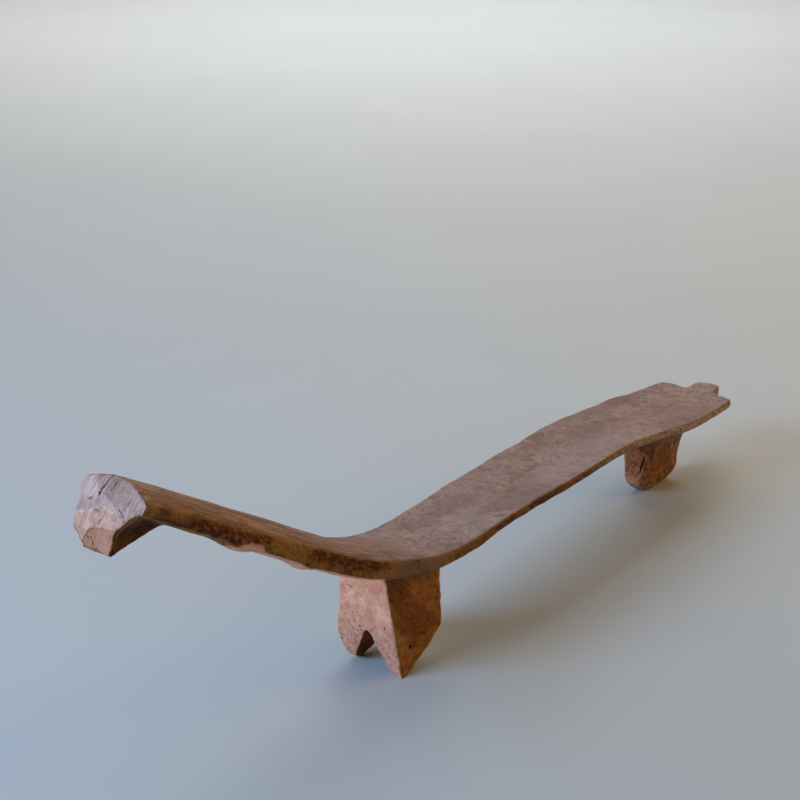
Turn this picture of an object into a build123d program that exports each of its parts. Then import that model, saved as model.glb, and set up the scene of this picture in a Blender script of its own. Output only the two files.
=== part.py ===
"""Daybed carved from one log, in the manner of Senufo beds: headrest, neck, board, tongue and legs.

The log is carved in one piece. Its members are separate solids here, and they meet face to face.
X runs along the bed from the headrest to the foot, Y across it, and Z up from the floor.
The origin is on the floor, under the middle of the bed. All sizes are in millimetres.
"""

from build123d import *
import os
from math import cos, exp, hypot, radians, sin, tan

# ---- Bed, seen from the side ----
overall_length = 2066      # chin of the headrest to the tip of the tongue
neck_run = 662             # headrest end to the bend, measured along the floor
neck_angle = 30.5          # slope of the neck, in degrees
bend_softness = 110        # length over which the neck turns into the board
board_height = 219         # rim of the board above the floor, in its level part
seat_dip = 12              # how far the board sinks just past the bend
seat_dip_distance = 169    # bend to the bottom of that dip
seat_dip_length = 143      # reach of the dip to either side
foot_drop = 49             # how much lower the foot end lies than the level part
foot_drop_run = 600        # length over which it drops

# ---- Bed, seen from above ----
neck_width = 130           # at the headrest
board_width = 190          # just past the bend
hip_width = 234            # widest place, over the rear leg
end_width = 210            # across the foot end
neck_flare_start = 230     # headrest end to where the neck starts to widen
neck_flare_run = 650       # length over which it widens
hip_distance = 210         # widest place to the foot end of the board
head_sway = -10            # how far the headrest lies to one side of the axis
near_end_setback = 26      # how much shorter the board is on its near side
far_end_swell = 9          # how far its end bows out between the tongue and the far corner
near_corner_radius = 46    # corners of the board's foot end
far_corner_radius = 50

# ---- Cross-sections ----
neck_edge = 27             # height of the side face at the headrest
bend_edge = 46             # what it would grow to at the bend, if it did not thin out
board_edge = 19            # its height along the board
thinning_lead = 230        # the side face starts to thin out this far ahead of the bend
thinning_run = 530
neck_crown = 22            # how far the neck's top swells above its rims
board_dish = 5             # how far the board's top is hollowed below its rims
crown_lead = 430           # the crown starts to flatten this far ahead of the bend
crown_run = 760
neck_belly = 8             # how far the underside hangs below the side faces
board_belly = 6
underside_inset = 34       # side face to where the underside turns flat
neck_roll = 4.4            # tilt of the neck towards its near side, in degrees
board_roll = -0.8
roll_lead = 213            # the tilt starts to change this far ahead of the bend
roll_run = 246
neck_rim_bevel = 7
board_rim_bevel = 3
station_count = 18         # cross-sections that the carving passes through

# ---- Headrest block ----
headrest_length = 125
keel_depth = 116           # rim of the neck to the underside of the block, at its end
keel_rise = 7              # slope of that underside, in degrees
keel_near_side = 31        # axis of the bed to the block's near face
keel_far_side = 54         # axis of the bed to its far face
keel_far_chamfer = 24
keel_flare = 36            # how far the near face spreads under the neck
brow_rise = 52             # underside of the block to the ridge across its end face
chin_tilt = 11             # lean of the end face below the ridge, in degrees
brow_tilt = 33             # lean of the end face above it

# ---- Tongue at the foot ----
tongue_length = 63
tongue_width = 70
tongue_offset = -6         # its middle, measured from the axis of the bed
tongue_tip_radius = 27
tongue_root_radius = 9

# ---- Front leg ----
front_leg_lead = 28        # its top edge stands this far ahead of the bend
front_leg_length = 171     # front to back, at the heel
front_leg_rake = 30        # how far its front face leans in towards the sole
front_back_rake = 12       # how far its back face leans out towards the board
front_sole_length = 30
front_heel_height = 52     # where the back edge starts to curve in
front_heel_slope = 0.3     # rise over run where the heel leaves the sole
front_top_near = 44        # axis of the bed to each side of the top
front_top_far = 50
front_ankle_near = 63      # axis of the bed to the outside of each ankle
front_ankle_far = 84
front_ankle_height = 57
front_ankle_radius = 40
near_foot_outside = 68     # axis of the bed to the outside of each sole
far_foot_outside = 56
near_sole_width = 26
far_sole_width = 13
notch_height = 84          # inverted V between the two feet
notch_offset = 9
notch_radius = 5
far_toe_rise = 12          # the far foot's toe is worn away by this much
far_toe_wear = 16

# ---- Rear leg ----
rear_leg_distance = 328    # its front face to the foot end of the board
rear_leg_offset = -7       # its middle, measured from the axis of the bed
rear_sole_setback = 30     # front face to the front of the sole
rear_sole_length = 106
rear_sole_width = 40
rear_ankle_height = 28
rear_ankle_length = 164
rear_ankle_width = 56
rear_calf_height = 95
rear_calf_length = 172
rear_calf_width = 82
rear_top_length = 202      # where it meets the board
rear_top_width = 216
rear_leg_facet = 13        # bevel down each corner

# ---- Places that follow from the sizes above ----
head_end = -overall_length / 2
tongue_tip = overall_length / 2
board_end = tongue_tip - tongue_length
bend = head_end + neck_run
hip = board_end - hip_distance
headrest_back = head_end + headrest_length
front_top = bend - front_leg_lead
front_back = front_top + front_leg_length
front_sole = front_top + front_leg_rake
rear_front = board_end - rear_leg_distance
neck_end = (front_top + front_back) / 2
margin = 40                # rough stock left past each end, before it is trimmed


def blend(x, start, run):
    """Goes from 0 at start to 1 at start + run, level at both ends."""
    share = min(max((x - start) / run, 0), 1)
    return share * share * (3 - 2 * share)


def between(first, last, share):
    """The size a given share of the way from the first to the last."""
    return first + (last - first) * share


def rim_height(x):
    """Height of the top edge of the side faces."""
    ahead = bend - x
    neck_rise = tan(radians(neck_angle)) * (ahead + hypot(ahead, bend_softness)) / 2
    dip = seat_dip * exp(-(((x - bend - seat_dip_distance) / seat_dip_length) ** 2))
    drop = foot_drop * blend(x, board_end - foot_drop_run, foot_drop_run)
    return board_height + neck_rise - dip - drop


def half_width(x):
    """Half of the width of the carving."""
    neck_part = (board_width - neck_width) * blend(x, head_end + neck_flare_start, neck_flare_run)
    hip_part = (hip_width - board_width) * blend(x, front_back, hip - front_back)
    end_part = (hip_width - end_width) * blend(x, hip, hip_distance)
    return (neck_width + neck_part + hip_part - end_part) / 2


def half_edge(x):
    """Half of the height of the side faces."""
    grown = between(neck_edge, bend_edge, blend(x, head_end, neck_run))
    return between(grown, board_edge, blend(x, bend - thinning_lead, thinning_run)) / 2


def sway(x):
    """How far the middle of the carving lies to one side of the axis."""
    return head_sway * (1 - blend(x, head_end, neck_run))


# ---- The carving: neck and board in one skin over a row of cross-sections ----
with BuildPart() as carving:
    rough_length = overall_length + 2 * margin
    for station in range(station_count):
        x = head_end - margin + rough_length * station / (station_count - 1)
        width = half_width(x)
        edge = half_edge(x)
        flattened = blend(x, bend - crown_lead, crown_run)
        thinned = blend(x, bend - thinning_lead, thinning_run)
        roll = radians(between(neck_roll, board_roll, blend(x, bend - roll_lead, roll_run)))
        bevel = between(neck_rim_bevel, board_rim_bevel, flattened)
        crown = edge + between(neck_crown, -board_dish, flattened)
        belly = edge + between(neck_belly, board_belly, thinned)
        across = Plane(
            origin=(x, sway(x), rim_height(x) - edge),
            x_dir=(0, cos(roll), sin(roll)),
            z_dir=(1, 0, 0),
        )
        with BuildSketch(across):
            with BuildLine():
                ThreePointArc((bevel - width, edge), (0, crown), (width - bevel, edge))
                Polyline(
                    (width - bevel, edge),
                    (width, edge - bevel),
                    (width, -edge),
                    (width - underside_inset, -belly),
                    (underside_inset - width, -belly),
                    (-width, -edge),
                    (-width, edge - bevel),
                    (bevel - width, edge),
                )
            make_face()
    loft()

# ---- Headrest block: the end of the neck with a keel left under it ----
keel_bottom = rim_height(head_end) - keel_depth
brow_height = keel_bottom + brow_rise

with BuildPart() as keel:
    with BuildSketch(Plane.XZ):
        with BuildLine():
            front = head_end - margin
            slope = tan(radians(keel_rise))
            Polyline(
                (front, keel_bottom - margin * slope),
                (headrest_back, keel_bottom + headrest_length * slope),
                (headrest_back, rim_height(headrest_back) - half_edge(headrest_back)),
                (front, rim_height(front) - half_edge(front)),
                close=True,
            )
        make_face()
    extrude(amount=neck_width, both=True)
    with BuildSketch(Plane.YZ.offset(headrest_back)):
        with BuildLine():
            spread = keel_near_side + keel_flare
            block_top = rim_height(head_end - margin)
            Polyline(
                (-keel_near_side, keel_bottom - margin),
                (-keel_near_side, brow_height - keel_flare / 2),
                (-spread, brow_height + keel_flare / 2),
                (-spread, block_top),
                (keel_far_side, block_top),
                (keel_far_side, keel_bottom + keel_far_chamfer),
                (keel_far_side - keel_far_chamfer, keel_bottom),
                (keel_far_side - keel_far_chamfer, keel_bottom - margin),
                close=True,
            )
        make_face()
    extrude(amount=-headrest_length - margin, mode=Mode.INTERSECT)

with BuildPart() as headrest_block:
    add(carving.part)
    split(bisect_by=Plane.YZ.offset(headrest_back), keep=Keep.BOTTOM)
    add(keel.part)
    chin = Plane(
        origin=(head_end, 0, keel_bottom),
        x_dir=(0, 1, 0),
        z_dir=(cos(radians(chin_tilt)), 0, -sin(radians(chin_tilt))),
    )
    split(bisect_by=chin, keep=Keep.TOP)
    brow_lead = brow_rise * tan(radians(chin_tilt))
    brow = Plane(
        origin=(head_end + brow_lead, 0, brow_height),
        x_dir=(0, 1, 0),
        z_dir=(cos(radians(brow_tilt)), 0, -sin(radians(brow_tilt))),
    )
    split(bisect_by=brow, keep=Keep.TOP)

# ---- Neck ----
with BuildPart() as neck:
    add(carving.part)
    split(bisect_by=Plane.YZ.offset(headrest_back), keep=Keep.TOP)
    split(bisect_by=Plane.YZ.offset(neck_end), keep=Keep.BOTTOM)

# ---- Bed board: rounded corners at the foot end, shorter on the near side ----
tongue_root = tongue_width / 2 + tongue_root_radius

with BuildPart() as bed_board:
    add(carving.part)
    with BuildSketch() as board_outline:
        near_corner = (board_end - near_end_setback, -end_width / 2)
        far_corner = (board_end, end_width / 2)
        far_root = (board_end, tongue_offset + tongue_root)
        with BuildLine():
            ThreePointArc(
                far_root,
                (board_end + far_end_swell, between(far_root[1], far_corner[1], 0.5)),
                far_corner,
            )
            Polyline(
                far_corner,
                (hip, hip_width),
                (neck_end, hip_width),
                (neck_end, -hip_width),
                (hip, -hip_width),
                near_corner,
                (board_end, tongue_offset - tongue_root),
                far_root,
            )
        make_face()
        fillet(board_outline.vertices().sort_by_distance(near_corner)[0], near_corner_radius)
        fillet(board_outline.vertices().sort_by_distance(far_corner)[0], far_corner_radius)
    extrude(amount=rim_height(head_end), mode=Mode.INTERSECT)

# ---- Tongue: a lug with a rounded tip that spreads where it joins the board ----
with BuildPart() as foot_tongue:
    add(carving.part)
    with BuildSketch(Plane(origin=(board_end, tongue_offset, 0))) as tongue_outline:
        with BuildLine():
            side = tongue_width / 2
            TangentArc((0, -tongue_root), (tongue_root_radius, -side), tangent=(0, 1))
            Polyline(
                (tongue_root_radius, -side),
                (tongue_length, -side),
                (tongue_length, side),
                (tongue_root_radius, side),
            )
            TangentArc((tongue_root_radius, side), (0, tongue_root), tangent=(-1, 0))
            Line((0, tongue_root), (0, -tongue_root))
        make_face()
        fillet(tongue_outline.vertices().group_by(Axis.X)[-1], radius=tongue_tip_radius)
    extrude(amount=rim_height(head_end), mode=Mode.INTERSECT)

# ---- Front leg: a block with an inverted V cut through it from front to back ----
front_stock_height = rim_height(front_top)

with BuildPart() as front_stock:
    with BuildSketch(Plane.XZ):
        with BuildLine():
            heel = (front_sole + front_sole_length, 0)
            Polyline(
                (front_back, front_heel_height),
                (front_back + front_back_rake, front_stock_height),
                (front_top, front_stock_height),
                (front_sole, 0),
                heel,
            )
            TangentArc(heel, (front_back, front_heel_height), tangent=(1, front_heel_slope))
        make_face()
    extrude(amount=board_width, both=True)
    with BuildSketch(Plane.YZ.offset(front_top)) as front_outline:
        apex = (notch_offset, notch_height)
        far_ankle = (front_ankle_far, front_ankle_height)
        with BuildLine():
            Polyline(
                (-front_top_near, front_stock_height),
                (-front_ankle_near, front_ankle_height),
                (-near_foot_outside, 0),
                (near_sole_width - near_foot_outside, 0),
                apex,
                (far_foot_outside - far_sole_width, 0),
                (far_foot_outside, 0),
                far_ankle,
                (front_top_far, front_stock_height),
                close=True,
            )
        make_face()
        fillet(front_outline.vertices().sort_by_distance(apex)[0], notch_radius)
        fillet(front_outline.vertices().sort_by_distance(far_ankle)[0], front_ankle_radius)
    extrude(amount=front_leg_length + front_back_rake, mode=Mode.INTERSECT)
    with BuildSketch(Plane.XZ):
        with BuildLine():
            Polyline(
                (front_sole - margin, 0),
                (front_sole + far_toe_wear, 0),
                (front_sole, far_toe_rise),
                (front_sole - margin, far_toe_rise),
                close=True,
            )
        make_face()
    extrude(amount=-board_width, mode=Mode.SUBTRACT)
    add(carving.part, mode=Mode.SUBTRACT)

with BuildPart() as front_leg:
    add(front_stock.solids().sort_by(Axis.Z)[0])

# ---- Rear leg: one bevelled hoof with an upright front that spreads into the board ----
with BuildPart() as rear_stock:
    for height, setback, length, width in (
        (0, rear_sole_setback, rear_sole_length, rear_sole_width),
        (rear_ankle_height, 0, rear_ankle_length, rear_ankle_width),
        (rear_calf_height, 0, rear_calf_length, rear_calf_width),
        (rim_height(rear_front), 0, rear_top_length, rear_top_width),
    ):
        middle = rear_front + setback + length / 2
        with BuildSketch(Plane(origin=(middle, rear_leg_offset, height))) as slice_outline:
            Rectangle(length, width)
            chamfer(slice_outline.vertices(), length=rear_leg_facet)
    loft()
    add(carving.part, mode=Mode.SUBTRACT)

with BuildPart() as rear_leg:
    add(rear_stock.solids().sort_by(Axis.Z)[0])

# ---- Export ----
os.makedirs("parts", exist_ok=True)

headrest_block.part.label = "headrest_block"
neck.part.label = "neck"
bed_board.part.label = "bed_board"
foot_tongue.part.label = "foot_tongue"
front_leg.part.label = "front_leg"
rear_leg.part.label = "rear_leg"

export_step(headrest_block.part, "parts/headrest_block.step")
export_step(neck.part, "parts/neck.step")
export_step(bed_board.part, "parts/bed_board.step")
export_step(foot_tongue.part, "parts/foot_tongue.step")
export_step(front_leg.part, "parts/front_leg.step")
export_step(rear_leg.part, "parts/rear_leg.step")
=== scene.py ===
"""Looks of the Senufo daybed: one carved log, shown as its six members.

The six solids of the frame become one skin, so that edges wear round and the legs flow into the board.
The skin is hewn, cracked and worn in code, and is then cut into six closed pieces, one for each solid.
Sizes are in metres, in the frame's axes: +X to the foot, +Y to the far side, +Z up, the floor at 0.
A pair such as (0.2, 0.7) is a range over which something fades in: none of it at the first number and all
of it at the last.
"""

import bmesh
import bpy
import numpy as np
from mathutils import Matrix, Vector, noise
from mathutils.bvhtree import BVHTree


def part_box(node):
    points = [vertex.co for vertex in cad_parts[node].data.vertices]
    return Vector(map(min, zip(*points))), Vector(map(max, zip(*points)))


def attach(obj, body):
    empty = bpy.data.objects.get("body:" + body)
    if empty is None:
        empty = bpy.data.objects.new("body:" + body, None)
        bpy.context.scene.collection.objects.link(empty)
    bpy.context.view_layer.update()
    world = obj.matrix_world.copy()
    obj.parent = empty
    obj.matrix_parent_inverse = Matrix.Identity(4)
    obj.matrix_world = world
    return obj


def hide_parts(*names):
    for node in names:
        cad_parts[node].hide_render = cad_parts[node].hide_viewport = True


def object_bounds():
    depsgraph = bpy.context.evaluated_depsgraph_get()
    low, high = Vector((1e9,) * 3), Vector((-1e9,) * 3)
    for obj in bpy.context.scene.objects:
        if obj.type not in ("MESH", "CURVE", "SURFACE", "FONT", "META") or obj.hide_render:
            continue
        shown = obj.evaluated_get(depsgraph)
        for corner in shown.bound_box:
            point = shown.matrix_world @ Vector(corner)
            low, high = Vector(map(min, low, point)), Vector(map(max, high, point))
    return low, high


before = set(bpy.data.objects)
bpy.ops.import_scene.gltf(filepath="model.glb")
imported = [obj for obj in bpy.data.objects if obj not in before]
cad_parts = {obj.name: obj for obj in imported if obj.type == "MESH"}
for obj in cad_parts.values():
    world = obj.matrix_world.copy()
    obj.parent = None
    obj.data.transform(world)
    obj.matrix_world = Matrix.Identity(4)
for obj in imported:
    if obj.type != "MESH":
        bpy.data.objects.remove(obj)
cad_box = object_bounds()

# ---- Places along the bed, from the frame ----
block_low, block_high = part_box("headrest_block")
HEADREST_END = block_low.x
HEADREST_BACK = block_high.x
NECK_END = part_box("neck")[1].x
BOARD_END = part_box("bed_board")[1].x
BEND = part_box("front_leg")[0].x + 0.028    # where the neck goes over into the board
REAR_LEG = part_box("rear_leg")[0].x

# ---- The skin ----
VOXEL = 0.0025
ROUNDING = 3               # rounds of smoothing that wear its sharp edges
EDGE_REACH = 26            # rounds of smoothing that tell an edge from a face
SPINE_STEP = 0.02          # spacing of the places where the bed's top is measured
SOLE = 0.0015              # what lies lower than this stands flat on the floor
FINER_END = 0.056          # how much of the headrest's end has a finer net
FINER_REACHES = (0.009, 0.0055)    # squares this near to a mark are split, once for each reach
LEG_MARGIN = 0.01          # how far outside its solid's box a leg's skin may lie

# ---- Regions by how far the skin stands out of its surroundings ----
EDGE_STANDOUT = (0.0004, 0.0022)
SHARP_EDGE = (0.0015, 0.0022)

# ---- Regions by how the skin is turned: ranges of its normal ----
TURNED_DOWN = (0.2, 0.7)
TURNED_ASIDE = (0.45, 0.8)
TURNED_TO_HEAD = (0.45, 0.8)
CUT_ACROSS = (0.30, 0.55)          # the headrest's end
NEAR_CUT = (-0.05, 0.25)           # the end and the edge around it
UNDERCUT = (0.35, 0.55)            # the rounded underside of the headrest's near cheek
CHEEK_TURN = 0.3                   # how much further round the end reaches on the far cheek

# ---- Regions along the bed ----
CUT_LENGTH = (HEADREST_END + 0.045, HEADREST_END + 0.055)
NEAR_CUT_LENGTH = (HEADREST_END + 0.05, HEADREST_END + 0.06)
BLOCK_BACK = (HEADREST_BACK - 0.03, HEADREST_BACK + 0.02)
NECK_TO_BOARD = (BEND - 0.22, BEND + 0.10)
LEGS_START = (BEND - 0.05, BEND - 0.03)
REAR_LEG_START = (REAR_LEG - 0.10, REAR_LEG - 0.05)
RAW_START, RAW_END = (-0.78, -0.70), (BEND - 0.10, BEND - 0.02)
GREY_RIM_START, GREY_RIM_END = (BEND - 0.08, BEND - 0.01), (-0.32, -0.22)
DARK_RIM_START, DARK_RIM_END = (-0.30, -0.18), (0.25, 0.50)
TAIL_START = (0.20, 0.50)

# ---- Regions across the bed, below its top and above the floor ----
CHEEK = (0.030, 0.045)    # how far out either cheek of the headrest lies
NOTCH_SIDE = (0.040, 0.052)    # how far out the front leg's notch ends
LEG_DEPTH = (0.045, 0.065)    # how far down the legs begin
KEEL_DEPTH = (0.040, 0.060)
RIM_DEPTH = (0.0015, 0.006)    # how far down the top ends and the side begins
FOOT_HEIGHT = (0.05, 0.15)

# ---- Hewing: the depth of each mark, its size along X, Y and Z, and a shift that makes it differ ----
WAVES = (0.0011, (0.13, 0.08, 0.08), 0.0)
RIPPLES = (0.0006, (0.05, 0.03, 0.03), 7.3)
ADZE_CUTS = (0.0012, (0.075, 0.032, 0.030), 3.1)
EDGE_WEAR = (0.0014, (0.022, 0.030, 0.030), 5.7)
EDGE_CHIPS = (0.0018, (0.022, 0.014, 0.014), 9.1)
REAR_LEG_CUTS = (0.0018, (0.055, 0.050, 0.075), 1.7)
FACET_EDGES = (0.0022, (0.009, 0.009, 0.009), 11.7)
DOME_EDGE = (0.0010, (0.008, 0.008, 0.008), 4.4)
LEDGE_EDGE = (0.0008, (0.006, 0.006, 0.006), 6.4)
FURROWS = (0.0005, (0.03, 0.0032, 0.03), 8.8)
CHIP_BOWL = (0.35, 0.85)   # the part of a scoop that is chipped out of an edge
HEWN_TOP = 0.25            # how strongly the top is hewn,
HEWN_SIDES = 0.75          # how much more the sides and the underside are,
HEWN_LEGS = 0.50           # and how much more again the legs are

# ---- Places that bulge or sink: middle, reach along each axis, and shift ----
SWELLS = (
    # The headrest's far and near corners.
    ((-0.985, 0.056, 0.590), (0.030, 0.024, 0.026), (0.000, 0.003, 0.007)),
    ((-0.992, -0.078, 0.576), (0.036, 0.020, 0.022), (0.000, -0.006, 0.001)),
    # Under the neck.
    ((-0.805, -0.050, 0.428), (0.042, 0.030, 0.016), (-0.003, -0.001, -0.008)),
    ((-0.778, -0.048, 0.410), (0.013, 0.028, 0.014), (0.003, -0.001, -0.006)),
    ((-0.635, -0.050, 0.330), (0.030, 0.030, 0.014), (-0.002, 0.000, -0.006)),
    # The near rim, then the far rim by the foot and the tongue.
    ((0.380, -0.108, 0.208), (0.110, 0.030, 0.030), (0.000, 0.000, 0.0075)),
    ((0.700, -0.110, 0.180), (0.110, 0.030, 0.040), (0.000, 0.000, -0.0060)),
    ((-0.150, -0.105, 0.190), (0.050, 0.030, 0.012), (0.000, 0.000, -0.0040)),
    ((0.735, 0.110, 0.190), (0.050, 0.030, 0.030), (0.000, 0.001, 0.0050)),
    ((0.995, 0.000, 0.165), (0.050, 0.060, 0.040), (0.000, 0.000, 0.0040)),
    # The rear leg's heel, the front leg's near tip and the rear leg's front.
    ((0.790, -0.045, 0.022), (0.034, 0.040, 0.024), (0.012, -0.005, 0.000)),
    ((-0.362, -0.066, 0.004), (0.014, 0.014, 0.014), (-0.004, -0.003, -0.003)),
    ((0.640, 0.010, 0.030), (0.024, 0.050, 0.024), (-0.007, 0.002, 0.000)),
    # The headrest's far cheek, then the far rim.
    ((-1.010, 0.060, 0.528), (0.030, 0.022, 0.026), (0.000, 0.006, 0.000)),
    ((0.190, 0.103, 0.215), (0.030, 0.020, 0.030), (0.000, 0.0025, 0.000)),
    ((0.290, 0.106, 0.212), (0.035, 0.020, 0.030), (0.000, -0.0030, 0.000)),
    ((0.395, 0.110, 0.208), (0.035, 0.020, 0.030), (0.000, 0.0025, 0.000)),
    ((0.545, 0.113, 0.200), (0.040, 0.020, 0.030), (0.000, -0.0020, 0.000)),
)

# ---- Facets of the headrest's end: middle across and up, slope across and up, depth, and painted light (0 paints the facet as shaded, 1 as lit) ----
FACETS = (
    (0.056, 0.586, 0.24, -0.04, 0.0012, 0.55),
    (0.036, 0.580, 0.08, 0.02, 0.0016, 0.80),
    (0.012, 0.597, 0.02, 0.10, 0.0016, 0.25),
    (-0.006, 0.587, -0.20, 0.06, 0.0030, 0.05),
    (-0.036, 0.584, -0.10, 0.02, 0.0016, 0.45),
    (-0.058, 0.570, -0.16, -0.06, 0.0010, 0.50),
    (-0.030, 0.566, -0.04, -0.06, 0.0022, 0.35),
    (0.036, 0.562, 0.04, -0.20, 0.0030, 0.50),
    (-0.004, 0.567, -0.02, -0.14, 0.0022, 0.60),
    (0.058, 0.552, 0.22, -0.02, 0.0010, 0.85),
    (0.022, 0.545, 0.06, 0.02, 0.0012, 0.90),
    (-0.014, 0.546, -0.12, 0.00, 0.0014, 0.55),
    (-0.038, 0.545, -0.26, 0.02, 0.0010, 0.70),
    (0.052, 0.524, 0.26, 0.02, 0.0010, 0.75),
    (-0.002, 0.516, -0.02, 0.08, 0.0022, 0.45),
    (0.030, 0.508, 0.16, 0.08, 0.0022, 0.15),
    (-0.026, 0.522, -0.20, 0.04, 0.0016, 0.50),
    (0.004, 0.498, 0.04, 0.16, 0.0020, 0.30),
)
FACET_BOWL = 6.0           # how round each facet is hollowed, as depth over distance squared

# ---- Ridges across the headrest's end, from its near side: places across and up ----
DOME = (
    (-0.060, 0.545),
    (-0.042, 0.554),
    (-0.028, 0.560),
    (-0.003, 0.563),
    (0.014, 0.561),
    (0.030, 0.553),
    (0.060, 0.546),
)
LEDGE = (
    (-0.046, 0.530),
    (-0.030, 0.537),
    (-0.013, 0.536),
    (0.007, 0.533),
    (0.018, 0.529),
    (0.030, 0.514),
    (0.040, 0.490),
)
END_SUNK = 0.0004          # how deep the whole end is cut back
DOME_STEP = 0.0016         # how far the end steps back above the dome,
DOME_RISE = (0.0, 0.002)   # where that begins
DOME_FADE = (0.004, 0.022)         # and where it ends, above the ridge
LEDGE_STEP = 0.0020        # how far it steps back below the ledge
LEDGE_RISE = (0.0, 0.0015)
FURROW_SLANT = 0.35        # how far the furrows lean across for each metre up
FURROW_EDGE = (0.0, 0.003)    # where the furrows begin above the dome
COLOUR_EDGE = (0.0, 0.0015)        # how sharply colours change at the two ridges
CREST_WIDTH = 0.002        # of the pale line along the dome

# ---- Stains on the board and neck: place, reach, and how dark or (below zero) how pale ----
STAINS = (
    # Dark ones along the far rim.
    ((0.592, 0.085, 0.203), (0.070, 0.028, 0.03), 0.9),
    ((0.470, 0.088, 0.210), (0.045, 0.018, 0.03), 0.5),
    ((0.346, 0.078, 0.217), (0.060, 0.018, 0.03), 0.4),
    ((0.194, 0.074, 0.219), (0.050, 0.020, 0.03), 0.7),
    # Small dark ones.
    ((0.225, 0.040, 0.217), (0.020, 0.010, 0.03), 0.8),
    ((0.203, 0.002, 0.217), (0.030, 0.006, 0.03), 0.7),
    ((0.590, 0.052, 0.201), (0.030, 0.005, 0.03), 0.9),
    ((0.576, -0.005, 0.203), (0.014, 0.006, 0.03), 0.9),
    ((0.640, 0.020, 0.197), (0.030, 0.005, 0.03), 0.5),
    ((-0.224, -0.058, 0.218), (0.018, 0.008, 0.03), 0.8),
    ((-0.200, -0.086, 0.218), (0.016, 0.006, 0.03), 0.9),
    ((-0.150, 0.030, 0.214), (0.060, 0.020, 0.03), 0.5),
    ((0.060, -0.060, 0.217), (0.060, 0.016, 0.03), 0.4),
    # Pale ones, and a dark one at the bend.
    ((0.199, -0.050, 0.220), (0.110, 0.030, 0.03), -0.8),
    ((0.420, -0.030, 0.214), (0.130, 0.034, 0.03), -0.7),
    ((-0.101, -0.013, 0.214), (0.080, 0.030, 0.03), -0.7),
    ((-0.010, 0.060, 0.217), (0.060, 0.020, 0.03), -0.5),
    ((-0.340, 0.020, 0.255), (0.070, 0.040, 0.05), -0.5),
    ((-0.390, -0.055, 0.262), (0.050, 0.020, 0.03), 0.7),
    ((0.780, -0.060, 0.180), (0.090, 0.030, 0.03), -0.5),
)

# ---- Soot on the neck's side: place and reach ----
SOOT = (
    ((-0.959, -0.073, 0.554), (0.020, 0.05, 0.013)),
    ((-0.895, -0.073, 0.512), (0.034, 0.05, 0.020)),
    ((-0.845, -0.073, 0.482), (0.034, 0.05, 0.018)),
    ((-0.800, -0.072, 0.458), (0.030, 0.05, 0.018)),
    ((-0.745, -0.070, 0.430), (0.030, 0.05, 0.016)),
    ((-0.600, -0.072, 0.352), (0.034, 0.05, 0.016)),
    ((-0.555, -0.073, 0.328), (0.034, 0.05, 0.018)),
    ((-0.500, -0.075, 0.300), (0.034, 0.05, 0.018)),
    ((-0.455, -0.078, 0.276), (0.034, 0.05, 0.016)),
)

SOOT_STRENGTH = 1.6    # of the mounds of soot, before they are cut off at 1
SIDE_LESS_PALE = 0.85         # how much less pale the bed's sides are than the top's edge, where the pale line is partly wear and partly a painted highlight
BOARD_SMOKE = 0.55         # how smoked the board's underside is, where the neck's is wholly so
RAW_SCAR = ((-0.795, -0.05, 0.412), (0.044, 0.06, 0.019))      # of raw wood under the neck: place and reach
RAW_STRENGTH = 2.0    # of the scar, before it is cut off at 1

# ---- Cracks: half width, depth, and the places they run through ----
CRACKS = (
    # In the headrest's end.
    (
        0.0013,
        0.0090,
        (
            (-0.984, 0.001, 0.607),
            (-0.994, 0.009, 0.592),
            (-1.000, 0.013, 0.583),
            (-1.006, 0.016, 0.572),
        ),
    ),
    (0.0009, 0.0030, ((-0.988, -0.008, 0.602), (-0.997, -0.003, 0.587), (-1.002, 0.000, 0.578))),
    (0.0009, 0.0030, ((-0.992, -0.049, 0.594), (-1.001, -0.046, 0.581), (-1.008, -0.042, 0.570))),
    (0.0008, 0.0020, ((-1.005, 0.040, 0.573), (-0.996, 0.031, 0.590))),
    (0.0012, 0.0030, ((-1.016, 0.016, 0.558), (-1.018, 0.004, 0.556), (-1.020, -0.005, 0.551))),
    (0.0009, 0.0030, ((-1.020, -0.004, 0.553), (-1.024, -0.001, 0.545), (-1.026, -0.001, 0.533))),
    (0.0010, 0.0040, ((-1.029, 0.018, 0.517), (-1.031, 0.009, 0.504), (-1.033, 0.002, 0.492))),
    (0.0012, 0.0030, ((-1.010, 0.047, 0.565), (-1.010, 0.033, 0.568), (-1.005, 0.019, 0.575))),
    (0.0011, 0.0025, ((-1.007, -0.022, 0.572), (-1.012, -0.031, 0.565), (-1.017, -0.046, 0.555))),
    # Along the neck.
    (0.0014, 0.0040, ((-0.944, -0.016, 0.580), (-0.922, -0.027, 0.567), (-0.906, -0.030, 0.557))),
    (0.0012, 0.0035, ((-0.836, -0.034, 0.512), (-0.818, -0.038, 0.501), (-0.800, -0.040, 0.490))),
    (0.0013, 0.0040, ((-0.700, -0.079, 0.382), (-0.645, -0.080, 0.348), (-0.590, -0.078, 0.318))),
    (0.0012, 0.0040, ((-0.560, -0.078, 0.316), (-0.500, -0.080, 0.282), (-0.450, -0.084, 0.252))),
    # In the rear leg.
    (
        0.0030,
        0.0140,
        (
            (0.643, -0.029, 0.101),
            (0.641, -0.027, 0.090),
            (0.638, -0.024, 0.075),
            (0.637, -0.023, 0.056),
        ),
    ),
    (
        0.0014,
        0.0035,
        (
            (0.637, -0.018, 0.057),
            (0.646, -0.037, 0.050),
            (0.662, -0.040, 0.045),
            (0.712, -0.036, 0.040),
        ),
    ),
    (0.0016, 0.0040, ((0.650, -0.044, 0.070), (0.652, -0.045, 0.095), (0.655, -0.050, 0.120))),
    (0.0014, 0.0030, ((0.720, -0.050, 0.120), (0.712, -0.045, 0.085), (0.708, -0.040, 0.050))),
    (0.0016, 0.0040, ((0.765, -0.055, 0.130), (0.758, -0.050, 0.100), (0.750, -0.045, 0.070))),
)
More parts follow.
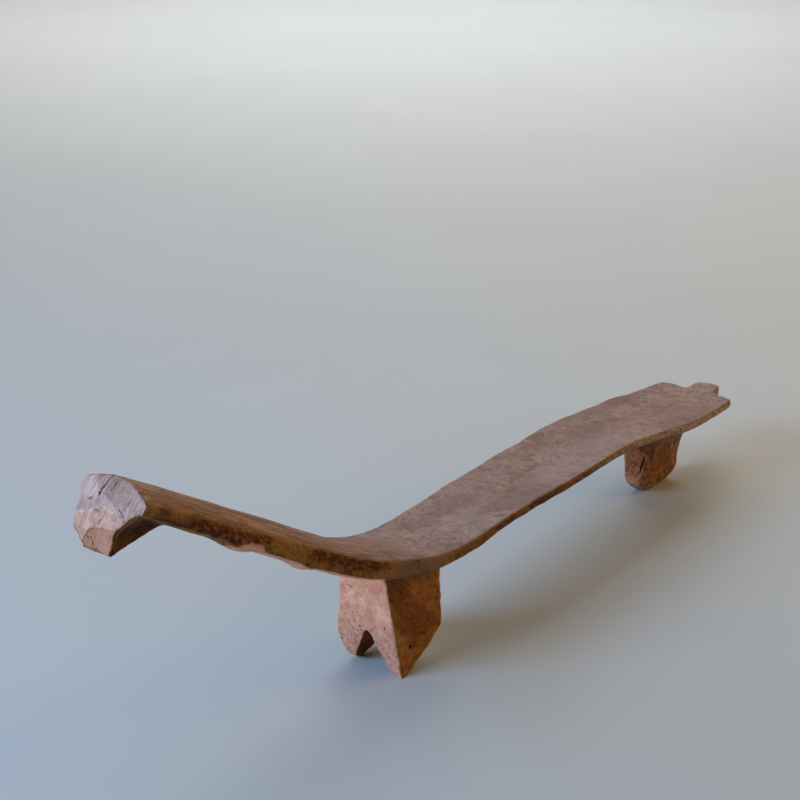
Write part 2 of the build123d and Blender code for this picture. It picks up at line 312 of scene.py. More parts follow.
CRACK_WANDER = 0.0016      # how far a crack strays from its line
WANDER_SIZE = 0.009
WANDER_SHIFTS = (0.5, 20.5, 40.5)      # which make it stray differently along each axis
CRACK_TIP = 0.35           # how wide a crack's ends are, as a share of its middle
DARK_DEPTH = 0.004         # a mark this deep is painted black inside, as painted shade

# ---- Holes and chips: place, radius and depth ----
HOLES = (
    # The headrest's end.
    ((-1.0035, 0.016, 0.578), 0.0016, 0.004),
    ((-1.029, 0.023, 0.515), 0.0019, 0.003),
    ((-1.030, -0.032, 0.502), 0.0065, 0.009),
    # The front leg's side.
    ((-0.344, -0.088, 0.238), 0.0034, 0.008),
    ((-0.334, -0.064, 0.049), 0.0042, 0.011),
    ((-0.330, -0.064, 0.057), 0.0024, 0.004),
    # Worm holes in the front leg's front.
    ((-0.389, 0.043, 0.175), 0.0012, 0.004),
    ((-0.389, 0.040, 0.169), 0.0018, 0.004),
    ((-0.388, 0.034, 0.167), 0.0018, 0.004),
    ((-0.380, 0.034, 0.092), 0.0019, 0.005),
    ((-0.379, 0.022, 0.084), 0.0024, 0.006),
    ((-0.378, 0.020, 0.077), 0.0021, 0.005),
    ((-0.376, 0.031, 0.059), 0.0019, 0.005),
    ((-0.375, 0.035, 0.049), 0.0018, 0.004),
    ((-0.382, 0.038, 0.111), 0.0016, 0.004),
    ((-0.387, -0.027, 0.158), 0.0014, 0.003),
    ((-0.380, -0.036, 0.098), 0.0022, 0.004),
    ((-0.378, -0.015, 0.080), 0.0016, 0.004),
    ((-0.373, -0.042, 0.037), 0.0016, 0.004),
    ((-0.374, 0.070, 0.043), 0.0021, 0.004),
    ((-0.377, -0.026, 0.068), 0.0018, 0.004),
    # The rear leg.
    ((0.645, -0.037, 0.071), 0.0030, 0.006),
    ((0.652, -0.046, 0.089), 0.0026, 0.005),
    ((0.675, -0.041, 0.057), 0.0030, 0.005),
    ((0.780, -0.052, 0.110), 0.0034, 0.006),
    # Shallow dents in the deck.
    ((0.231, 0.027, 0.218), 0.0050, 0.0015),
    ((0.574, 0.028, 0.204), 0.0070, 0.0020),
)

# ---- Chipped corners of bare wood: place, radius and depth ----
CHIPS = (
    # The front leg's feet.
    ((-0.352, -0.066, 0.004), 0.008, 0.0014),
    ((-0.368, 0.048, 0.000), 0.008, 0.0020),
    # The rear leg's foot.
    ((0.636, 0.006, 0.016), 0.014, 0.0026),
    ((0.648, -0.028, 0.008), 0.020, 0.0036),
    ((0.676, -0.040, 0.006), 0.020, 0.0036),
    ((0.712, -0.042, 0.004), 0.018, 0.0030),
    ((0.748, -0.046, 0.010), 0.018, 0.0030),
    ((0.768, 0.000, 0.004), 0.014, 0.0030),
    # The near rim and the neck's underside.
    ((-0.340, -0.090, 0.205), 0.008, 0.0020),
    ((-0.776, -0.060, 0.402), 0.010, 0.0030),
    ((-0.630, -0.060, 0.318), 0.010, 0.0030),
)
CHIP_RIM = (0.1, 0.5)      # where a chip's bare wood begins, from its rim in


# ==== Arrays and meshes ====
def points_of(mesh):
    """The places of a mesh's vertices, one row each."""
    flat = np.empty(len(mesh.vertices) * 3)
    mesh.vertices.foreach_get("co", flat)
    return flat.reshape(-1, 3)


def normals_of(mesh):
    """The smooth normal at each vertex."""
    flat = np.empty(len(mesh.vertices) * 3)
    mesh.vertex_normals.foreach_get("vector", flat)
    return flat.reshape(-1, 3)


def centres_of(mesh):
    """The middle of each face."""
    flat = np.empty(len(mesh.polygons) * 3)
    mesh.polygons.foreach_get("center", flat)
    return flat.reshape(-1, 3)


def move_to(mesh, points):
    """Moves a mesh's vertices."""
    mesh.vertices.foreach_set("co", points.ravel())
    mesh.update()


def smoothed(mesh, values, rounds):
    """The values of the vertices, averaged with those of their neighbours, round after round."""
    flat = np.empty(len(mesh.edges) * 2, int)
    mesh.edges.foreach_get("vertices", flat)
    first, last = flat.reshape(-1, 2).T
    near = np.bincount(flat, minlength=len(values)).reshape(-1, 1)
    for _ in range(rounds):
        total = np.stack(
            [
                np.bincount(first, values[last, axis], len(values))
                + np.bincount(last, values[first, axis], len(values))
                for axis in range(values.shape[1])
            ],
            axis=1,
        )
        values = (values + total / near) / 2
    return values


def step(values, low, high):
    """Goes smoothly from 0 at low to 1 at high."""
    share = np.clip((values - low) / (high - low), 0, 1)
    return share * share * (3 - 2 * share)


def mound(points, place, reach):
    """1 at a place, falling to 0 about twice its reach away. The reach is given along X, Y and Z."""
    return np.exp(-(((points - np.array(place)) / np.array(reach)) ** 2).sum(axis=1))


def swell(points, size, shift):
    """Smooth noise from -1 to 1, with swells of the given size along X, Y and Z."""
    return np.array([noise.noise(place) for place in points / np.array(size) + shift])


def scoops(points, size, shift):
    """From 0 on a ridge to 1 in the middle of a bowl, for cuts of the given size along X, Y and Z."""
    places = points / np.array(size) + shift
    reach = np.array([noise.voronoi(place)[0][0] for place in places])
    return 1 - np.minimum(reach, 1) ** 2


def hills(points, size, shift):
    """Smooth noise from 0 to 1."""
    return 0.5 + 0.5 * swell(points, size, shift)


def splinters(points, size, shift):
    """1 where a chip of the given size has come off, and 0 elsewhere."""
    return step(scoops(points, size, shift), *CHIP_BOWL)


def relief(points, mark, share=1.0, pattern=swell):
    """How high a mark stands or how deep it cuts, where it has some share of its full depth."""
    deep, size, shift = mark
    return deep * share * pattern(points, size, shift)


def bowl_at(points, place, radius):
    """1 in the middle of a round hole, falling to 0 at its rim."""
    return np.clip(1 - (np.linalg.norm(points - np.array(place), axis=1) / radius) ** 2, 0, 1)


def from_line(points, line):
    """How far each point lies from a line through some places, and how far along the line that is."""
    line = np.array(line)
    lengths = np.linalg.norm(np.diff(line, axis=0), axis=1)
    passed = np.concatenate([[0], np.cumsum(lengths)])
    away = np.full(len(points), np.inf)
    along = np.zeros(len(points))
    for number, length in enumerate(lengths):
        heading = (line[number + 1] - line[number]) / length
        run = np.clip((points - line[number]) @ heading, 0, length)
        gap = np.linalg.norm(points - line[number] - run[:, None] * heading, axis=1)
        along = np.where(gap < away, (passed[number] + run) / passed[-1], along)
        away = np.minimum(away, gap)
    return away, along


# ==== The skin ====
def joined_solids():
    """One mesh that holds the faces of all the solids."""
    body = bmesh.new()
    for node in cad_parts.values():
        body.from_mesh(node.data)
    mesh = bpy.data.meshes.new("skin")
    body.to_mesh(mesh)
    body.free()
    return mesh


def remeshed(mesh):
    """The outside of a mesh as an even net of small squares."""
    holder = bpy.data.objects.new("holder", mesh)
    bpy.context.scene.collection.objects.link(holder)
    modifier = holder.modifiers.new("Remesh", "REMESH")
    modifier.mode = "VOXEL"
    modifier.voxel_size = VOXEL
    depsgraph = bpy.context.evaluated_depsgraph_get()
    result = bpy.data.meshes.new_from_object(holder.evaluated_get(depsgraph))
    bpy.data.objects.remove(holder)
    return result


def split_near_marks(mesh, reach, whole_end):
    """Splits each square near a crack or hole into four, and those of the headrest's end if asked."""
    centres = centres_of(mesh)
    near = (centres[:, 0] < HEADREST_END + FINER_END) & whole_end
    for half_width, _, line in CRACKS:
        near |= from_line(centres, line)[0] < half_width + reach
    for place, radius, _ in HOLES + CHIPS:
        near |= np.linalg.norm(centres - np.array(place), axis=1) < radius + reach
    body = bmesh.new()
    body.from_mesh(mesh)
    body.faces.ensure_lookup_table()
    edges = {edge for number in np.flatnonzero(near) for edge in body.faces[number].edges}
    bmesh.ops.subdivide_edges(body, edges=list(edges), cuts=1, use_grid_fill=True)
    body.to_mesh(mesh)
    body.free()


skin = remeshed(joined_solids())
move_to(skin, smoothed(skin, points_of(skin), ROUNDING))

# The line of the bed's top, which the grain follows.
spine_x = np.arange(cad_box[0].x, cad_box[1].x, SPINE_STEP)
start = points_of(skin)
station = np.clip(np.round((start[:, 0] - spine_x[0]) / SPINE_STEP), 0, len(spine_x) - 1)
spine_z = np.array([start[station == i, 2].max() for i in range(len(spine_x))])
spine_s = np.concatenate([[0], np.cumsum(np.hypot(np.diff(spine_x), np.diff(spine_z)))])


def below_top(points):
    """How far each place lies below the line of the bed's top."""
    return np.interp(points[:, 0], spine_x, spine_z) - points[:, 2]


# ==== Large forms ====
points = points_of(skin)
for place, reach, shift in SWELLS:
    points = points + mound(points, place, reach)[:, None] * np.array(shift)
move_to(skin, points)

normals = normals_of(skin)
edge = ((points - smoothed(skin, points, EDGE_REACH)) * normals).sum(axis=1)
skin.attributes.new("edge", "FLOAT", "POINT").data.foreach_set("value", edge.astype(np.float32))
for round_number, reach in enumerate(FINER_REACHES):
    split_near_marks(skin, reach, whole_end=round_number == 0)


# ==== Regions of the skin ====
points = points_of(skin)
normals = normals_of(skin)
edge = np.empty(len(points), np.float32)
skin.attributes["edge"].data.foreach_get("value", edge)
x, y, z = points.T
turned_x, turned_y, turned_z = normals.T

edge_wear_and_highlight = step(edge, *EDGE_STANDOUT)
hollow = step(-edge, *EDGE_STANDOUT)
down = step(-turned_z, *TURNED_DOWN)
side = step(np.abs(turned_y), *TURNED_ASIDE)
to_head = step(-turned_x, *TURNED_TO_HEAD)
depth = below_top(points)
legs = step(depth, *LEG_DEPTH) * step(x, *LEGS_START)
rear = legs * step(x, *REAR_LEG_START)
block = 1 - step(x, *BLOCK_BACK)
neck_part = (1 - step(x, *NECK_TO_BOARD)) * (1 - legs)
cut_end = step(CHEEK_TURN * step(y, *CHEEK) - turned_x, *CUT_ACROSS) * (1 - step(x, *CUT_LENGTH))
cut_end *= 1 - step(-turned_z, *UNDERCUT) * step(-y, *CHEEK)

# ==== Hewing ====
height = relief(points, WAVES, 1 - cut_end)
height += relief(points, RIPPLES, 1 - cut_end)
hewn = (HEWN_TOP + HEWN_SIDES * np.maximum(down, side) + HEWN_LEGS * legs) * (1 - cut_end)
height -= relief(points, ADZE_CUTS, hewn, scoops)
height -= relief(points, EDGE_WEAR, edge_wear_and_highlight, hills)
height -= relief(points, EDGE_CHIPS, edge_wear_and_highlight * side, splinters)
height -= relief(points, REAR_LEG_CUTS, rear, scoops)


def above(points, ridge):
    """How far each place lies above a ridge that runs across the headrest's end."""
    across, up = np.array(ridge).T
    return points[:, 2] - np.interp(points[:, 1], across, up)


def end_facets(points):
    """The depth of the headrest's end and each facet's painted light: each facet is a hollow, and sharp
    ridges part them.
    """
    across, up, slope_across, slope_up, sunk, painted_facet_light = np.array(FACETS).T
    ragged = relief(points, FACET_EDGES)[:, None]
    to_side = points[:, 1, None] - across + ragged
    to_top = points[:, 2, None] - up - ragged
    bowl = FACET_BOWL * (to_side**2 + to_top**2)
    cuts = sunk + slope_across * to_side + slope_up * to_top - bowl
    return cuts.max(axis=1), painted_facet_light[cuts.argmax(axis=1)]


slanted = points.copy()
slanted[:, 1] += FURROW_SLANT * z
furrow_depth, *furrow_shape = FURROWS
furrows = swell(slanted, *furrow_shape)
over_dome = above(points, DOME) + relief(points, DOME_EDGE)
under_ledge = relief(points, LEDGE_EDGE) - above(points, LEDGE)
facet_depth, facet_painted_light = end_facets(points)
sunk = facet_depth + DOME_STEP * step(over_dome, *DOME_RISE) * (1 - step(over_dome, *DOME_FADE))
sunk += LEDGE_STEP * step(under_ledge, *LEDGE_RISE)
height -= cut_end * (END_SUNK + np.maximum(sunk, 0) - furrow_depth * furrows)

# ==== Cracks, holes and chips ====
wander = np.stack([swell(points, (WANDER_SIZE,) * 3, shift) for shift in WANDER_SHIFTS], axis=1)
strayed = points + CRACK_WANDER * wander
cut = np.zeros(len(points))
# Painted shade inside cracks and holes: the deeper, the darker.
painted_pit_shade = np.zeros(len(points))
chipped = np.zeros(len(points))
for half_width, deep, line in CRACKS:
    away, along = from_line(strayed, line)
    open_share = np.sqrt(np.clip(4 * along * (1 - along), 0, 1))
    groove = np.clip(1 - away / (half_width * (CRACK_TIP + (1 - CRACK_TIP) * open_share)), 0, 1)
    cut = np.maximum(cut, deep * open_share * groove)
    painted_pit_shade = np.maximum(painted_pit_shade, groove * min(deep / DARK_DEPTH, 1))
for place, radius, deep in HOLES:
    bowl = bowl_at(strayed, place, radius)
    cut = np.maximum(cut, deep * bowl)
    painted_pit_shade = np.maximum(painted_pit_shade, np.sqrt(bowl) * min(deep / DARK_DEPTH, 1) ** 2)
for place, radius, deep in CHIPS:
    bowl = bowl_at(strayed, place, radius)
    cut = np.maximum(cut, deep * bowl)
    chipped = np.maximum(chipped, step(bowl, *CHIP_RIM))
points = points + normals * (height - cut)[:, None]

points = np.clip(points, np.array(cad_box[0]), np.array(cad_box[1]))
points[points[:, 2] < SOLE, 2] = cad_box[0].z
move_to(skin, points)
x, y, z = points.T

# ==== What the materials read ====
along = np.interp(x, spine_x, spine_s)
raw = RAW_STRENGTH * mound(points, *RAW_SCAR)
raw += down * neck_part * (1 - step(x, *RAW_END)) * step(x, *RAW_START)
soot = sum(mound(points, place, reach) for place, reach in SOOT)
stain = sum(dark * mound(points, place, reach) for place, reach, dark in STAINS)
near_cut = step(-turned_x, *NEAR_CUT) * (1 - step(x, *NEAR_CUT_LENGTH))
# The inner faces of the front leg's notch, painted darker as painted shade.
painted_notch_shade = legs * side * (1 - rear) * (1 - step(np.abs(y), *NOTCH_SIDE))
smoked = side + down * (BOARD_SMOKE + (1 - BOARD_SMOKE) * neck_part)


def rim(start, end):
    """The stretch of the bed's sides that fades in over one range and out over another."""
    return side * step(x, *start) * (1 - step(x, *end)) * (1 - legs)


masks = {
    # Pale edges: rubbed wear, and along the top's edge also a painted highlight.
    "edge_wear_and_highlight": edge_wear_and_highlight * (1 - near_cut) * np.maximum(legs, 1 - SIDE_LESS_PALE * step(depth, *RIM_DEPTH)),
    "hollow": hollow * (1 - painted_notch_shade),
    "painted_notch_shade": painted_notch_shade,
    "tail": step(x, *TAIL_START) * (1 - legs),
    "smoke": np.clip(smoked, 0, 1) * (1 - cut_end),
    "soot": np.clip(SOOT_STRENGTH * soot, 0, 1) * side,
    "dark_rim": rim(DARK_RIM_START, DARK_RIM_END),
    "grey_rim": rim(GREY_RIM_START, GREY_RIM_END),
    "arris": step(edge, *SHARP_EDGE) * legs * (1 - rear),
    "keel": block * step(depth, *KEEL_DEPTH) * (1 - cut_end),
    "raw": np.clip(raw, 0, 1) * (1 - cut_end),
    "chipped": chipped,
    "bare": np.clip(to_head * legs, 0, 1) * (1 - rear),
    "foot": 1 - step(z, *FOOT_HEIGHT),
    "rear_front": to_head * rear,
    "rear": rear,
    "cut_end": cut_end,
    # Painted light and shade of the headrest's end, facet by facet.
    "painted_facet_light": facet_painted_light * cut_end,
    "furrow": np.clip(0.5 - furrows, 0, 1) * step(over_dome, *FURROW_EDGE),
    "over_dome": step(over_dome, *COLOUR_EDGE),
    "crest": np.exp(-((over_dome / CREST_WIDTH) ** 2)),
    "under_ledge": step(under_ledge, *COLOUR_EDGE),
    "neck": neck_part,
    "legs": legs,
    "dark_stain": np.clip(stain, 0, 1),
    "pale_stain": np.clip(-stain, 0, 1),
    "painted_pit_shade": painted_pit_shade,
}


def write_masks(mesh):
    """Stores the masks, the grain's own coordinates and the smooth normals with the vertices."""
    for name, values in masks.items():
        mesh.attributes.new(name, "FLOAT", "POINT").data.foreach_set("value", values.astype(np.float32))
    grain = np.stack([along, points[:, 1], below_top(points)], axis=1)
    for name, rows in (("grain", grain), ("smooth_normal", normals_of(mesh))):
        attribute = mesh.attributes.new(name, "FLOAT_VECTOR", "POINT")
        attribute.data.foreach_set("vector", rows.astype(np.float32).ravel())


write_masks(skin)


# ==== Cutting the skin into its members ====
def node_tree(name):
    """The faces of a solid, for finding the nearest one."""
    body = bmesh.new()
    body.from_mesh(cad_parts[name].data)
    tree = BVHTree.FromBMesh(body)
    body.free()
    return tree


def leg_faces(mesh, name):
    """The numbers of the faces that lie nearer to a leg than to what it carries."""
    low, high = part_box(name)
    centres = centres_of(mesh)
    above_low = centres > np.array(low) - LEG_MARGIN
    below_high = centres < np.array(high) + LEG_MARGIN
    leg = node_tree(name)
    others = [node_tree(other) for other in ("neck", "bed_board")]
    chosen = set()
    for number in np.flatnonzero(np.all(above_low & below_high, axis=1)):
        centre = Vector(centres[number])
        if leg.find_nearest(centre)[3] < min(tree.find_nearest(centre)[3] for tree in others):
            chosen.add(int(number))
    return chosen


def close_holes(body):
    """Fills each open ring of edges with triangles, and marks them as caps."""
    cap = body.faces.layers.int["cap"]
    rim = [edge for edge in body.edges if edge.is_boundary]
    filled = bmesh.ops.holes_fill(body, edges=rim, sides=0)["faces"]
    for face in bmesh.ops.triangulate(body, faces=filled)["faces"]:
        face[cap] = 1


def opened(mesh):
    """A mesh as an editable body with a place to mark its caps."""
    body = bmesh.new()
    body.from_mesh(mesh)
    if "cap" not in body.faces.layers.int:
        body.faces.layers.int.new("cap")
    body.faces.ensure_lookup_table()
    return body


def closed(body, name):
    """Writes an edited body to a mesh of its own."""
    mesh = bpy.data.meshes.new(name)
    body.to_mesh(mesh)
    body.free()
    return mesh


def kept_faces(numbers, kept, name):
    """The skin with or without some of its faces, and a cap over each hole that this leaves."""
    body = opened(skin)
    dropped = [face for face in body.faces if (face.index in numbers) != kept]
    bmesh.ops.delete(body, geom=dropped, context="FACES")
    close_holes(body)
    return closed(body, name)


def span_mesh(carried, low, high, name):
    """The stretch of the carving between two planes across X, with a cap on each."""
    body = opened(carried)
    for place, outer, inner in ((low, False, True), (high, True, False)):
        if place is None:
            continue
        geometry = body.verts[:] + body.edges[:] + body.faces[:]
        bmesh.ops.bisect_plane(
            body,
            geom=geometry,
            dist=VOXEL / 20,
            plane_co=(place, 0, 0),
            plane_no=(1, 0, 0),
            clear_outer=outer,
            clear_inner=inner,
        )
        close_holes(body)
    return closed(body, name)


front_leg_faces = leg_faces(skin, "front_leg")
rear_leg_faces = leg_faces(skin, "rear_leg")
legless = kept_faces(front_leg_faces | rear_leg_faces, False, "legless")

MESHES = {
    "headrest_block": span_mesh(legless, None, HEADREST_BACK, "headrest_block"),
    "neck": span_mesh(legless, HEADREST_BACK, NECK_END, "neck"),
    "bed_board": span_mesh(legless, NECK_END, BOARD_END, "bed_board"),
    "foot_tongue": span_mesh(legless, BOARD_END, None, "foot_tongue"),
    "front_leg": kept_faces(front_leg_faces, True, "front_leg"),
    "rear_leg": kept_faces(rear_leg_faces, True, "rear_leg"),
}


def shade_as_one(mesh):
    """Gives a piece the smooth normals of the whole carving, so that no seam shows where it was cut."""
    rows = np.empty(len(mesh.vertices) * 3)
    mesh.attributes["smooth_normal"].data.foreach_get("vector", rows)
    rows = rows.reshape(-1, 3)
    corners = np.empty(len(mesh.loops), int)
    mesh.loops.foreach_get("vertex_index", corners)
    normal = rows[corners]
    cap = mesh.attributes["cap"].data
    for face in mesh.polygons:
        face.use_smooth = True
        if cap[face.index].value:
            normal[face.loop_start : face.loop_start + face.loop_total] = face.normal
    normal /= np.maximum(np.linalg.norm(normal, axis=1, keepdims=True), 1e-9)
    mesh.normals_split_custom_set(normal.tolist())


# ==== Materials ====
class Finish:
    """A material, with short ways to add nodes to it."""

    def __init__(self, name):
        self.material = bpy.data.materials.new(name)
        self.material.use_nodes = True
        self.tree = self.material.node_tree
        self.shader = self.tree.nodes["Principled BSDF"]

    def put(self, socket, value):
        """Links an output to a socket, or sets the socket to a number or colour."""
        if isinstance(value, bpy.types.NodeSocket):
            self.tree.links.new(value, socket)
        else:
            socket.default_value = value

    def node(self, kind, inputs=None, **settings):
        """Adds a node with its settings and inputs."""
        node = self.tree.nodes.new(kind)
        for name, value in settings.items():
            setattr(node, name, value)
        for name, value in (inputs or {}).items():
            self.put(node.inputs[name], value)
        return node

    def mask(self, name):
        """One of the masks that are stored with the vertices."""
        return self.node("ShaderNodeAttribute", attribute_name=name).outputs["Fac"]

    def grain(self, *scale, turn=0.0):
        """The grain's coordinates, scaled along the log, across it and down from its top."""
        place = self.node("ShaderNodeAttribute", attribute_name="grain").outputs["Vector"]
        if turn:
            inputs = {"Vector": place, "Rotation": (0.0, turn, 0.0)}
            place = self.node("ShaderNodeMapping", inputs).outputs["Vector"]
        return self.node("ShaderNodeMapping", {"Vector": place, "Scale": scale}).outputs["Vector"]

    def noise(self, place, detail=4.0, roughness=0.55, distortion=0.0):
        """Soft noise from 0 to 1."""
        inputs = {"Vector": place, "Scale": 1.0}
        inputs |= {"Detail": detail, "Roughness": roughness, "Distortion": distortion}
        return self.node("ShaderNodeTexNoise", inputs).outputs["Fac"]

    def ramp(self, value, low, high, to_low=0.0, to_high=1.0):
        """Turns the range low..high into another, smoothly."""
        inputs = {"Value": value, "From Min": low, "From Max": high, "To Min": to_low, "To Max": to_high}
        return self.node("ShaderNodeMapRange", inputs, interpolation_type="SMOOTHSTEP").outputs["Result"]

    def maths(self, operation, first, second):
        """Arithmetic on two values."""
        node = self.node("ShaderNodeMath", operation=operation)
        self.put(node.inputs[0], first)
        self.put(node.inputs[1], second)
        return node.outputs["Value"]

    def times(self, first, second):
        """Two values multiplied."""
        return self.maths("MULTIPLY", first, second)

    def mix(self, share, first, second):
        """Mixes two colours."""
        node = self.node("ShaderNodeMix", data_type="RGBA")
        for socket, value in ((node.inputs[0], share), (node.inputs[6], first), (node.inputs[7], second)):
            self.put(socket, value)
        return node.outputs[2]

    def bump(self, heights):
        """Small relief, given as pairs of a value and its height in metres."""
        normal = None
        for value, tall in heights:
            inputs = {"Height": value, "Distance": tall, "Strength": 1.0}
            if normal is not None:
                inputs["Normal"] = normal
            normal = self.node("ShaderNodeBump", inputs).outputs["Normal"]
        return normal

    def finish(self, **sockets):
        """Sets or links the shader's own sockets."""
        for name, value in sockets.items():
            self.put(self.shader.inputs[name.replace("_", " ")], value)
        return self.material


def colour(screen):
    """A colour given as it looks on a screen: red, green and blue from 0 to 255."""
    screen = np.array(screen) / 255
    linear = np.where(screen < 0.04045, screen / 12.92, ((screen + 0.055) / 1.055) ** 2.4)
    return (*linear, 1.0)


# ---- Patterns in the grain ----
# For each: cycles per metre along the log, across it and down from its top, then turn, detail, roughness
# and distortion.
PATTERNS = {
    "streaks": ((4.5, 95, 95), 0.0, 6, 0.68, 0.0),
    "fibres": ((20, 260, 260), 0.0, 5, 0.65, 0.0),
    "blotches": ((9, 18, 18), 0.0, 5, 0.62, 0.4),
    "clouds": ((4, 8, 8), 0.0, 3, 0.50, 0.0),
    "mottle": ((70, 95, 95), 0.0, 6, 0.72, 0.0),
    "dabs": ((42, 30, 30), 0.5, 5, 0.66, 0.0),
    "upright": ((130, 130, 14), 0.0, 5, 0.65, 0.0),
    "specks": ((190, 230, 230), 0.0, 2, 0.70, 0.0),
    "scratches": ((16, 150, 220), 0.8, 4, 0.60, 0.0),
}
PATCHES = (("mottle", 0.9), ("blotches", 1.3))      # two patterns that make a third, and their shares
RAGGED_RAW = 0.9           # how far the mottle frays the edge of raw wood
RAGGED_ROSE = 0.8          # how far the dabs fray the edge of the rear leg's rosy front

# ---- Grounds: a pattern, the range of it over which the colour changes, and the two colours ----
GROUNDS = {
    "deck": ("blotches", 0.36, 0.64, (135, 97, 82), (161, 125, 110)),
    "neck": ("streaks", 0.36, 0.64, (116, 81, 63), (182, 143, 120)),
    "rim": ("patches", 0.94, 1.14, (98, 54, 14), (158, 106, 50)),
    "olive": ("mottle", 0.40, 0.58, (122, 98, 86), (174, 148, 130)),
    "leg_side": ("blotches", 0.40, 0.62, (132, 74, 28), (182, 118, 56)),
    "keel": ("fibres", 0.40, 0.60, (66, 28, 2), (124, 68, 18)),
    "raw": ("streaks", 0.35, 0.65, (206, 140, 110), (248, 196, 168)),
    "leg_front": ("dabs", 0.34, 0.66, (220, 146, 115), (250, 183, 155)),
    "grime": ("mottle", 0.36, 0.56, (150, 98, 82), (206, 145, 125)),
    "rear_leg": ("upright", 0.40, 0.60, (124, 80, 44), (190, 142, 96)),
    "rear_leg_front": ("dabs", 0.38, 0.62, (116, 62, 38), (178, 114, 82)),
    "chip": ("mottle", 0.40, 0.60, (150, 104, 72), (214, 166, 128)),
    # The notch's colours are darker than the leg's side, as painted shade in the recess.
    "painted_notch_shade": ("dabs", 0.35, 0.65, (104, 48, 24), (150, 84, 52)),
}

# ---- Coats over a ground, in order: a pattern or mask, a range of it, the share at each end, the colour ----
COATS = {
    "deck": (
        ("clouds", 0.42, 0.60, 0.0, 0.60, (153, 123, 111)),
        ("dabs", 0.36, 0.52, 0.60, 0.0, (114, 78, 64)),
        ("dabs", 0.54, 0.68, 0.0, 0.60, (184, 141, 120)),
        ("mottle", 0.38, 0.50, 0.60, 0.0, (104, 72, 58)),
        ("clouds", 0.40, 0.50, 0.55, 0.0, (116, 83, 70)),
        ("specks", 0.60, 0.70, 0.0, 0.40, (200, 160, 138)),
        ("specks", 0.30, 0.40, 0.35, 0.0, (100, 68, 56)),
    ),
    "neck": (
        ("fibres", 0.38, 0.56, 0.60, 0.0, (88, 56, 40)),
        ("blotches", 0.45, 0.65, 0.0, 0.40, (150, 108, 70)),
    ),
    "rim": (
        ("specks", 0.54, 0.64, 0.0, 0.60, (190, 140, 78)),
        ("mottle", 0.38, 0.50, 0.40, 0.0, (78, 40, 8)),
    ),
    "leg_side": (
        ("specks", 0.58, 0.68, 0.0, 0.55, (192, 138, 82)),
        ("mottle", 0.38, 0.50, 0.60, 0.0, (84, 44, 12)),
        ("scratches", 0.58, 0.70, 0.0, 0.40, (180, 128, 78)),
    ),
    "leg_front": (
        ("mottle", 0.36, 0.50, 0.35, 0.0, (184, 122, 96)),
    ),
    "rear_leg": (
        ("blotches", 0.44, 0.56, 0.0, 0.60, (132, 76, 38)),
        ("mottle", 0.38, 0.50, 0.70, 0.0, (78, 40, 14)),
        ("specks", 0.58, 0.68, 0.0, 0.60, (204, 156, 108)),
    ),
    "rear_leg_front": (
        ("mottle", 0.38, 0.50, 0.60, 0.0, (92, 52, 36)),
    ),
    "end": (
        ("clouds", 0.40, 0.60, 0.0, 0.35, (196, 154, 144)),
        ("furrow", 0.45, 0.80, 0.0, 0.35, (150, 110, 98)),
        ("mottle", 0.40, 0.54, 0.50, 0.0, (154, 111, 98)),
        ("specks", 0.58, 0.68, 0.0, 0.35, (238, 200, 184)),
    ),
}

# ---- Single colours ----
LILAC = ((183, 140, 127), (227, 187, 173))          # of the cut end: a facet in painted shade and a painted lit one, as for peach and brown
PEACH = ((198, 134, 107), (243, 188, 164))
BROWN = ((170, 108, 76), (224, 152, 118))
# Pale worn edges, along the top's edge also a painted highlight.
WORN_WOOD_AND_HIGHLIGHT = (164, 120, 74)
WORN_LEG = (204, 150, 110)
# Painted shade inside holes and cracks.
PAINTED_SHADE_IN_PITS = (26, 14, 10)

# ---- Finish ----
MIRRORED = {"cut_end_wood": 0.12, "neck_wood": 0.06, "board_wood": 0.18, "leg_wood": 0.06}
RELIEF = (("streaks", 0.0010), ("dabs", 0.0014), ("mottle", 0.0010), ("fibres", 0.0005))    # metres tall
FRESH_ROUGHER = 0.25       # how much rougher bare and freshly cut wood is


class Wood(Finish):
    """Old wood, with its grain patterns and short ways to lay colours over each other."""

    def __init__(self, name):
        super().__init__(name)
        self.patterns = {}
        for pattern, (scale, turn, *roughening) in PATTERNS.items():
            self.patterns[pattern] = self.noise(self.grain(*scale, turn=turn), *roughening)
        first, second = (self.times(self.patterns[pattern], share) for pattern, share in PATCHES)
        self.patterns["patches"] = self.maths("ADD", first, second)

    def share(self, source, low, high, to_low=0.0, to_high=1.0):
        """A share that follows a pattern or, where no pattern has that name, a mask."""
        value = self.patterns[source] if source in self.patterns else self.mask(source)
        return self.ramp(value, low, high, to_low, to_high)

    def ground(self, name):
        """A ground with its coats."""
        source, low, high, first, last = GROUNDS[name]
        surface = self.mix(self.share(source, low, high), colour(first), colour(last))
        return self.coated(surface, *COATS.get(name, ()))

    def coated(self, surface, *coats):
        """A surface with coats of colour over it."""
        for *spread, tint in coats:
            surface = self.mix(self.share(*spread), surface, colour(tint))
        return surface

    def on_mask(self, surface, mask, strength, tint):
        """A surface with a colour over a mask. The strength is a number, or a share as share() takes it."""
        if isinstance(strength, tuple):
            strength = self.share(*strength)
        if isinstance(tint, tuple):
            tint = colour(tint)
        return self.mix(self.times(self.mask(mask), strength), surface, tint)


def top_wood(wood):
    """The top: the deck that is slept on, and the streaked neck."""
    deck = wood.ground("deck")
    deck = wood.on_mask(deck, "dark_stain", ("mottle", 0.3, 0.6, 0.75, 0.35), (108, 76, 60))
    deck = wood.on_mask(deck, "pale_stain", 0.5, (166, 136, 134))
    return wood.mix(wood.mask("neck"), deck, wood.ground("neck"))


